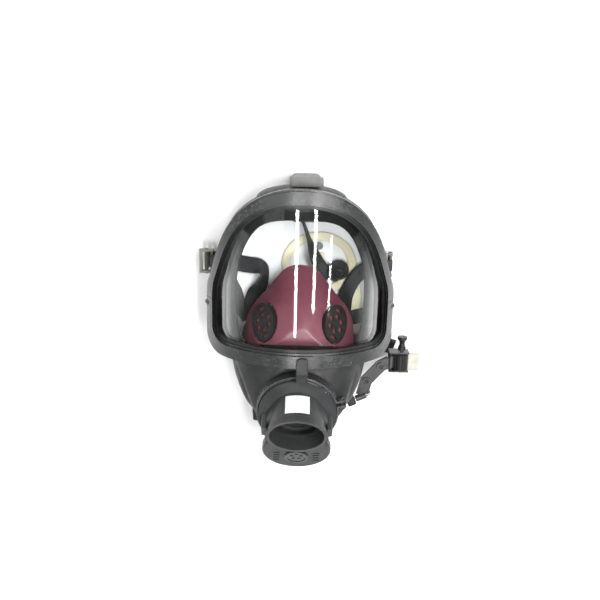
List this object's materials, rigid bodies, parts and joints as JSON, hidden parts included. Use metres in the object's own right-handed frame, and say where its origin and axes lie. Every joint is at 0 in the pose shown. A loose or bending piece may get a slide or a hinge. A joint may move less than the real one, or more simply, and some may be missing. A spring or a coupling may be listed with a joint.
{
  "type": "full face respirator",
  "caption": "Full face respirator lying on its back: wide curved visor, black rubber facepiece, burgundy nose cup, plug-in breathing port, exhalation valve and strap harness with buckles.",
  "frame": {"origin": "middle of the face opening at the level of the surface the mask lies on", "axes": "+X to the right of the picture (the wearer's left), +Y towards the forehead, +Z straight ahead out of the lens"},
  "size_m": [0.2015, 0.2595, 0.113],
  "materials": {
    "rubber_black": "moulded matt rubber, slightly dusty",
    "gasket_rubber": "smooth rubber lip",
    "clear_lens": "clear hard-coated polycarbonate",
    "frame_plastic": "scuffed satin moulding",
    "housing_plastic": "satin moulding",
    "cover_plastic": "satin moulding",
    "clamp_metal": "black coated spring steel, glossy",
    "steel": "zinc plated",
    "dark_steel": "blackened",
    "cup_rubber": "burgundy silicone rubber, satin",
    "valve_rubber": "thin smooth rubber",
    "valve_plastic": "dark moulding",
    "webbing_black": "black face of the two-tone rubber strap",
    "webbing_cream": "cream inner face of the rubber harness",
    "webbing_gray": "woven gray webbing",
    "label_paper": "blank printed label stock",
    "badge_plastic": null,
    "buckle_olive": "olive gray coated metal",
    "spring_steel": "stainless wire"
  },
  "bodies": {
    "mask": {"visor_lens": "clear_lens", "lens_gasket": "gasket_rubber", "upper_lens_frame": "frame_plastic", "lower_lens_frame": "frame_plastic", "frame_screws": "dark_steel", "facepiece_body": "rubber_black", "nose_cup": "cup_rubber", "left_check_valve_seat": "valve_plastic", "right_check_valve_seat": "valve_plastic", "nose_cup_holder": "valve_plastic", "connector_housing": "housing_plastic", "port_seal_ring": "gasket_rubber", "inhalation_valve_seat": "housing_plastic", "exhalation_valve_seat": "housing_plastic", "housing_clamp_band": "clamp_metal", "clamp_screw": "dark_steel", "clamp_nut": "dark_steel", "locating_tongue": "rubber_black", "port_label": "label_paper", "harness_ring": "webbing_cream", "ring_rivet": "dark_steel", "forehead_strap": "webbing_gray", "centre_strap": "webbing_cream", "left_temple_strap": "webbing_black", "left_cheek_strap": "webbing_black", "right_temple_strap": "webbing_black", "right_cheek_strap": "webbing_black", "rolled_strap": "webbing_black", "left_cheek_lug": "rubber_black", "left_clip_pin": "steel", "left_temple_lug": "rubber_black", "right_cheek_lug": "rubber_black", "right_clip_pin": "steel", "right_temple_lug": "rubber_black"},
    "left_flap": {"left_check_valve_flap": "valve_rubber"},
    "right_flap": {"right_check_valve_flap": "valve_rubber"},
    "inhalation_disc": {"inhalation_valve_disc": "valve_rubber"},
    "exhalation_disc": {"exhalation_valve_disc": "valve_rubber", "exhalation_spring": "spring_steel"},
    "exhalation_cap": {"exhalation_cover": "cover_plastic", "cover_badge": "badge_plastic"},
    "left_clip": {"left_clip_plate": "dark_steel", "left_clip_studs": "dark_steel"},
    "left_buckle": {"left_buckle_frame": "dark_steel", "left_strap_end": "webbing_cream"},
    "left_roller": {"left_buckle_roller": "valve_plastic", "left_roller_knob": "valve_plastic"},
    "left_temple_link": {"left_temple_buckle": "buckle_olive"},
    "left_temple_slider": {"left_temple_bar": "buckle_olive"},
    "right_clip": {"right_clip_plate": "dark_steel", "right_clip_studs": "dark_steel"},
    "right_buckle": {"right_buckle_frame": "dark_steel", "right_strap_end": "webbing_cream"},
    "right_roller": {"right_buckle_roller": "valve_plastic", "right_roller_knob": "valve_plastic"},
    "right_temple_link": {"right_temple_buckle": "buckle_olive"},
    "right_temple_slider": {"right_temple_bar": "buckle_olive"}
  },
  "joints": [
    {"name": "left_check_valve", "type": "slide", "parent": "mask", "child": "left_flap", "axis": [-0.6184, 0.3192, 0.7181], "range_m": [-0.0015, 0], "stiffness_N_per_m": 40, "springref_m": 0.0006},
    {"name": "right_check_valve", "type": "slide", "parent": "mask", "child": "right_flap", "axis": [0.6184, 0.3192, 0.7181], "range_m": [-0.0015, 0], "stiffness_N_per_m": 40, "springref_m": 0.0006},
    {"name": "inhalation_valve", "type": "slide", "parent": "mask", "child": "inhalation_disc", "axis": [0, 0.5736, -0.8192], "range_m": [0, 0.002], "stiffness_N_per_m": 40, "springref_m": -0.0008},
    {"name": "exhalation_valve", "type": "slide", "parent": "mask", "child": "exhalation_disc", "axis": [0, -0.5736, 0.8192], "range_m": [0, 0.0015], "stiffness_N_per_m": 60, "springref_m": -0.0005, "deforming": ["exhalation_spring"]},
    {"name": "exhalation_cap_pull", "type": "slide", "parent": "mask", "child": "exhalation_cap", "axis": [0, -0.5736, 0.8192], "range_m": [0, 0.012]},
    {"name": "right_clip_hinge", "type": "hinge", "parent": "mask", "child": "right_clip", "pos_m": [0.0586, -0.0975, 0.031], "axis": [0.9135, 0.4067, 0], "range_deg": [-15, 60]},
    {"name": "right_buckle_hinge", "type": "hinge", "parent": "right_clip", "child": "right_buckle", "pos_m": [0.0846, -0.062, 0.031], "axis": [0, 1, 0], "range_deg": [-60, 20]},
    {"name": "right_roller_turn", "type": "hinge", "parent": "right_buckle", "child": "right_roller", "pos_m": [0.0938, -0.062, 0.031], "axis": [0, 1, 0], "continuous": true},
    {"name": "right_temple_hinge", "type": "hinge", "parent": "mask", "child": "right_temple_link", "pos_m": [0.0804, 0.025, 0.018], "axis": [0, 1, 0], "range_deg": [-100, 0]},
    {"name": "right_temple_slide", "type": "slide", "parent": "right_temple_link", "child": "right_temple_slider", "axis": [0.1045, 0, -0.9945], "range_m": [0, 0.002]},
    {"name": "left_clip_hinge", "type": "hinge", "parent": "mask", "child": "left_clip", "pos_m": [-0.03, -0.1085, 0.016], "axis": [0.9976, 0.0698, 0], "range_deg": [-10, 20]},
    {"name": "left_buckle_hinge", "type": "hinge", "parent": "left_clip", "child": "left_buckle", "pos_m": [0.00962, -0.12764, 0.016], "axis": [0.4695, -0.8829, 0], "range_deg": [-15, 12]},
    {"name": "left_roller_turn", "type": "hinge", "parent": "left_buckle", "child": "left_roller", "pos_m": [0.01775, -0.12332, 0.016], "axis": [0.4695, -0.8829, 0], "continuous": true},
    {"name": "left_temple_hinge", "type": "hinge", "parent": "mask", "child": "left_temple_link", "pos_m": [-0.0804, 0.025, 0.018], "axis": [0, 1, 0], "range_deg": [-60, 50]},
    {"name": "left_temple_slide", "type": "slide", "parent": "left_temple_link", "child": "left_temple_slider", "axis": [-1, 0, 0], "range_m": [0, 0.002]}
  ]
}
